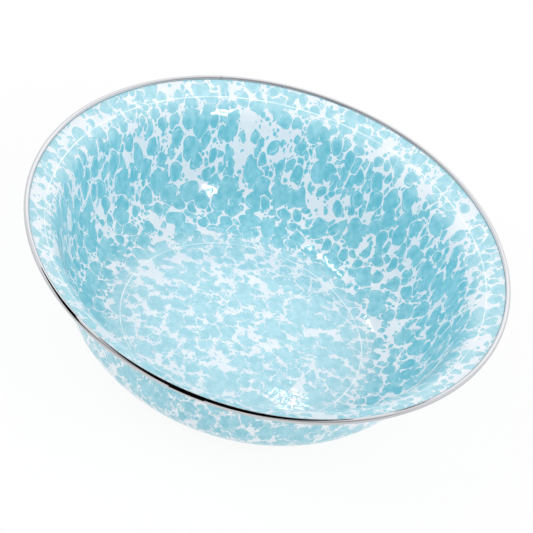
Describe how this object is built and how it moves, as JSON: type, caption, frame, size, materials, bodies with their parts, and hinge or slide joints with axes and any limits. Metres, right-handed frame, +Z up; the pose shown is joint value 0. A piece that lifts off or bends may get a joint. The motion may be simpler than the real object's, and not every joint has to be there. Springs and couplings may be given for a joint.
{
  "type": "serving bowl",
  "caption": "Round enamelled steel serving bowl with a flat base, steep wall, flared lip and a rolled stainless rim band.",
  "frame": {"origin": "middle of the flat base, on the surface that the bowl stands on", "axes": "+Z up along the bowl's axis of revolution, out of its mouth; the joint of the rim band lies towards +Y and -X"},
  "size_m": [0.3, 0.3, 0.081],
  "materials": {
    "sheet_steel": "pressed sheet, covered by enamel",
    "inner_enamel": "glossy vitreous enamel, white with turquoise mottling",
    "outer_enamel": "glossy vitreous enamel, white with turquoise mottling",
    "rim_steel": "mirror polished stainless strip"
  },
  "bodies": {
    "root": {"steel_shell": "sheet_steel", "inner_enamel": "inner_enamel", "outer_enamel": "outer_enamel", "rim_band": "rim_steel"}
  },
  "joints": []
}
